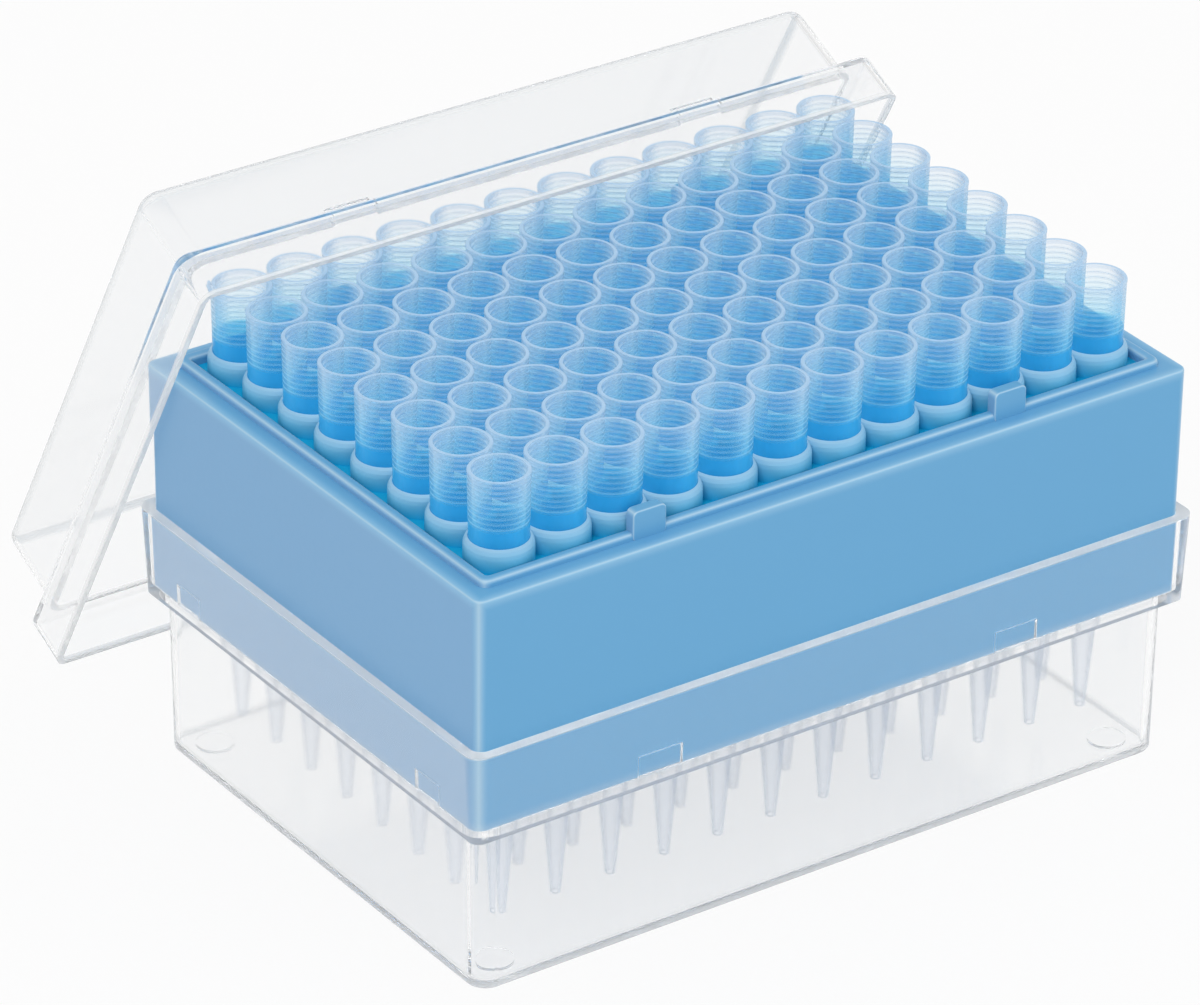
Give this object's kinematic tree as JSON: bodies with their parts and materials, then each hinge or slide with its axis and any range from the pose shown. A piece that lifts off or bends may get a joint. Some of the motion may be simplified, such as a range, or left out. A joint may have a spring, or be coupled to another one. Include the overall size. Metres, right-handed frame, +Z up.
{
  "type": "pipette tip box",
  "caption": "Open box of pipette tips: a clear stepped base, a blue rack with raised collars, translucent hollow tips in a grid, and a clear two-step lid leaning on the back.",
  "frame": {"origin": "middle of the base's underside, on the surface it stands on", "axes": "+X along a row of tips to the right, +Y along a column of tips to the back, where the lid leans, +Z up"},
  "size_m": [0.1237, 0.1258, 0.0844],
  "materials": {
    "base_clear": "clear polystyrene, polished",
    "rack_blue": "satin blue polypropylene, slightly translucent",
    "lid_clear": "clear polystyrene, polished",
    "tip_natural": "natural translucent polypropylene"
  },
  "bodies": {
    "root": {"base": "base_clear", "rack": "rack_blue", "lid": "lid_clear", "tips_column_01": "tip_natural", "tips_column_02": "tip_natural", "tips_column_03": "tip_natural", "tips_column_04": "tip_natural", "tips_column_05": "tip_natural", "tips_column_06": "tip_natural", "tips_column_07": "tip_natural", "tips_column_08": "tip_natural", "tips_column_09": "tip_natural", "tips_column_10": "tip_natural", "tips_column_11": "tip_natural", "tips_column_12": "tip_natural"}
  },
  "joints": []
}
